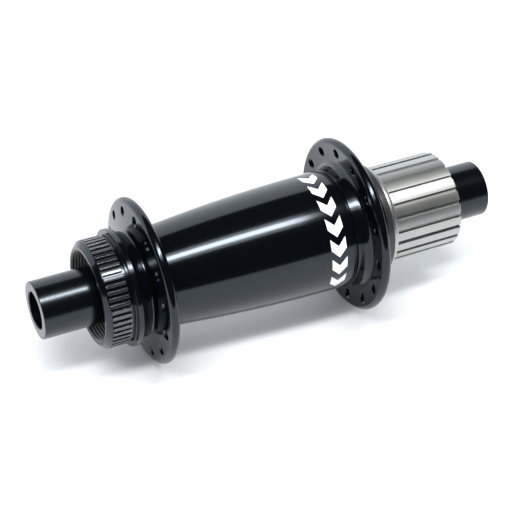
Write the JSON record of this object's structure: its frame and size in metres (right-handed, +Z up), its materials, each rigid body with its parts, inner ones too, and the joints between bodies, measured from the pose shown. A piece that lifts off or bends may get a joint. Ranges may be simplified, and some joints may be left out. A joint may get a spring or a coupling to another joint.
{
  "type": "rear bicycle hub",
  "caption": "Rear bicycle hub for a through axle, with a waisted shell between two drilled spoke flanges, a splined disc-rotor mount and a splined freehub body.",
  "frame": {"origin": "on the axle axis, midway between the outer end faces of the two end caps", "axes": "+Y along the axle axis towards the disc-rotor side (left side of the bicycle), -Y towards the drive side, +X forward, +Z up"},
  "size_m": [0.0582, 0.157, 0.0582],
  "materials": {
    "shell_gloss_black": "high gloss black anodised, polished",
    "cap_gloss_black": "gloss black anodised",
    "axle_anodised": "satin black anodised",
    "turned_aluminium": "turned bare",
    "freehub_satin_alloy": "satin, machined",
    "hardened_steel": "hardened and ground",
    "bearing_steel": "ground and polished",
    "spring_steel": "blued spring steel",
    "cage_nylon": "moulded nylon",
    "seal_black_rubber": "moulded rubber",
    "seal_grey_rubber": "moulded rubber, matt",
    "nitrile_rubber": "smooth rubber"
  },
  "bodies": {
    "axle": {"axle": "axle_anodised", "disc_end_cap": "cap_gloss_black", "drive_end_cap": "cap_gloss_black", "disc_end_cap_o_ring": "nitrile_rubber", "drive_end_cap_o_ring": "nitrile_rubber", "driver_spacer_long": "turned_aluminium", "driver_spacer_short": "turned_aluminium", "disc_dust_cap": "cap_gloss_black", "disc_bearing_inner_race": "bearing_steel", "drive_bearing_inner_race": "bearing_steel", "freehub_inner_bearing_inner_race": "bearing_steel", "freehub_outer_bearing_inner_race": "bearing_steel"},
    "hub_shell": {"hub_shell": "shell_gloss_black", "ratchet_ring": "hardened_steel", "disc_bearing_outer_race": "bearing_steel", "disc_bearing_seals": "seal_black_rubber", "drive_bearing_outer_race": "bearing_steel", "drive_bearing_seals": "seal_black_rubber"},
    "freehub": {"freehub_body": "freehub_satin_alloy", "freehub_seal": "seal_grey_rubber", "freehub_circlip": "spring_steel", "pawl_springs": "spring_steel", "freehub_inner_bearing_outer_race": "bearing_steel", "freehub_inner_bearing_seals": "seal_black_rubber", "freehub_outer_bearing_outer_race": "bearing_steel", "freehub_outer_bearing_seals": "seal_black_rubber"},
    "disc_bearing_rollers": {"disc_bearing_cage": "cage_nylon", "disc_bearing_balls": "bearing_steel"},
    "drive_bearing_rollers": {"drive_bearing_cage": "cage_nylon", "drive_bearing_balls": "bearing_steel"},
    "freehub_inner_bearing_rollers": {"freehub_inner_bearing_cage": "cage_nylon", "freehub_inner_bearing_balls": "bearing_steel"},
    "freehub_outer_bearing_rollers": {"freehub_outer_bearing_cage": "cage_nylon", "freehub_outer_bearing_balls": "bearing_steel"},
    "pawl_1": {"pawl_1": "hardened_steel"},
    "pawl_2": {"pawl_2": "hardened_steel"},
    "pawl_3": {"pawl_3": "hardened_steel"},
    "pawl_4": {"pawl_4": "hardened_steel"}
  },
  "joints": [
    {"name": "shell_spin", "type": "hinge", "parent": "axle", "child": "hub_shell", "pos_m": [0, 0, 0], "axis": [0, 1, 0], "continuous": true},
    {"name": "freehub_spin", "type": "hinge", "parent": "axle", "child": "freehub", "pos_m": [0, 0, 0], "axis": [0, 1, 0], "continuous": true},
    {"name": "disc_bearing_roll", "type": "hinge", "parent": "axle", "child": "disc_bearing_rollers", "pos_m": [0, 0.048, 0], "axis": [0, 1, 0], "continuous": true},
    {"name": "drive_bearing_roll", "type": "hinge", "parent": "axle", "child": "drive_bearing_rollers", "pos_m": [0, -0.022, 0], "axis": [0, 1, 0], "continuous": true},
    {"name": "freehub_inner_bearing_roll", "type": "hinge", "parent": "axle", "child": "freehub_inner_bearing_rollers", "pos_m": [0, -0.0415, 0], "axis": [0, 1, 0], "continuous": true},
    {"name": "freehub_outer_bearing_roll", "type": "hinge", "parent": "axle", "child": "freehub_outer_bearing_rollers", "pos_m": [0, -0.0535, 0], "axis": [0, 1, 0], "continuous": true},
    {"name": "pawl_1_swing", "type": "hinge", "parent": "freehub", "child": "pawl_1", "pos_m": [0, -0.0301, 0.0126], "axis": [0, -1, 0], "range_deg": [0, 11.5], "stiffness_Nm_per_rad": 0.002, "springref_deg": 11.5},
    {"name": "pawl_2_swing", "type": "hinge", "parent": "freehub", "child": "pawl_2", "pos_m": [0.0126, -0.0301, 0], "axis": [0, -1, 0], "range_deg": [0, 11.5], "stiffness_Nm_per_rad": 0.002, "springref_deg": 11.5},
    {"name": "pawl_3_swing", "type": "hinge", "parent": "freehub", "child": "pawl_3", "pos_m": [0, -0.0301, -0.0126], "axis": [0, -1, 0], "range_deg": [0, 11.5], "stiffness_Nm_per_rad": 0.002, "springref_deg": 11.5},
    {"name": "pawl_4_swing", "type": "hinge", "parent": "freehub", "child": "pawl_4", "pos_m": [-0.0126, -0.0301, 0], "axis": [0, -1, 0], "range_deg": [0, 11.5], "stiffness_Nm_per_rad": 0.002, "springref_deg": 11.5}
  ],
  "couplings": [
    {"joint": "disc_bearing_roll", "follows": "shell_spin", "ratio": 0.59209},
    {"joint": "drive_bearing_roll", "follows": "shell_spin", "ratio": 0.59209},
    {"joint": "freehub_inner_bearing_roll", "follows": "freehub_spin", "ratio": 0.56103},
    {"joint": "freehub_outer_bearing_roll", "follows": "freehub_spin", "ratio": 0.56103}
  ]
}
